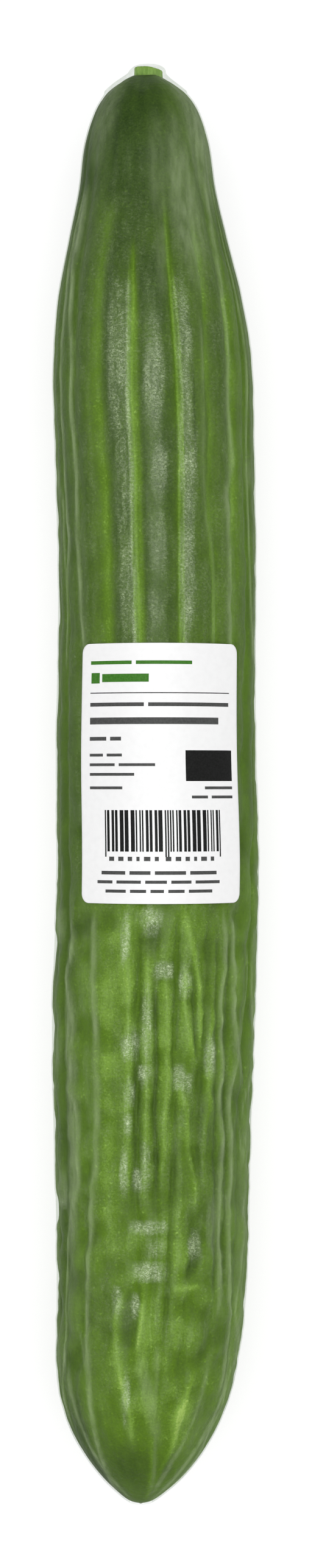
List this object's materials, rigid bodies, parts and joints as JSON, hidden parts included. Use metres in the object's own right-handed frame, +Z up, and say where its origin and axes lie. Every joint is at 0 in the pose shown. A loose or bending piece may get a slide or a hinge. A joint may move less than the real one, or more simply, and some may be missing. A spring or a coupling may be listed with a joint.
{
  "type": "cucumber",
  "caption": "Whole salad cucumber lying on its side, in tight clear shrink film, with a plain paper label on top.",
  "frame": {"origin": "on the surface that the cucumber lies on, at the middle of the flat spot that carries it", "axes": "+Y along the cucumber towards its stem, +Z up, +X to the right of the label seen from above with the stem end up"},
  "size_m": [0.0443, 0.3063, 0.043],
  "materials": {
    "cucumber_skin": "smooth waxy vegetable skin, darker at the stem end",
    "green_stem": "moist cut plant stem",
    "clear_film": "clear glossy heat-shrunk film",
    "white_paper": "smooth coated white label paper"
  },
  "bodies": {
    "root": {"cucumber_fruit": "cucumber_skin", "stem_stub": "green_stem", "shrink_film": "clear_film", "paper_label": "white_paper"}
  },
  "joints": []
}
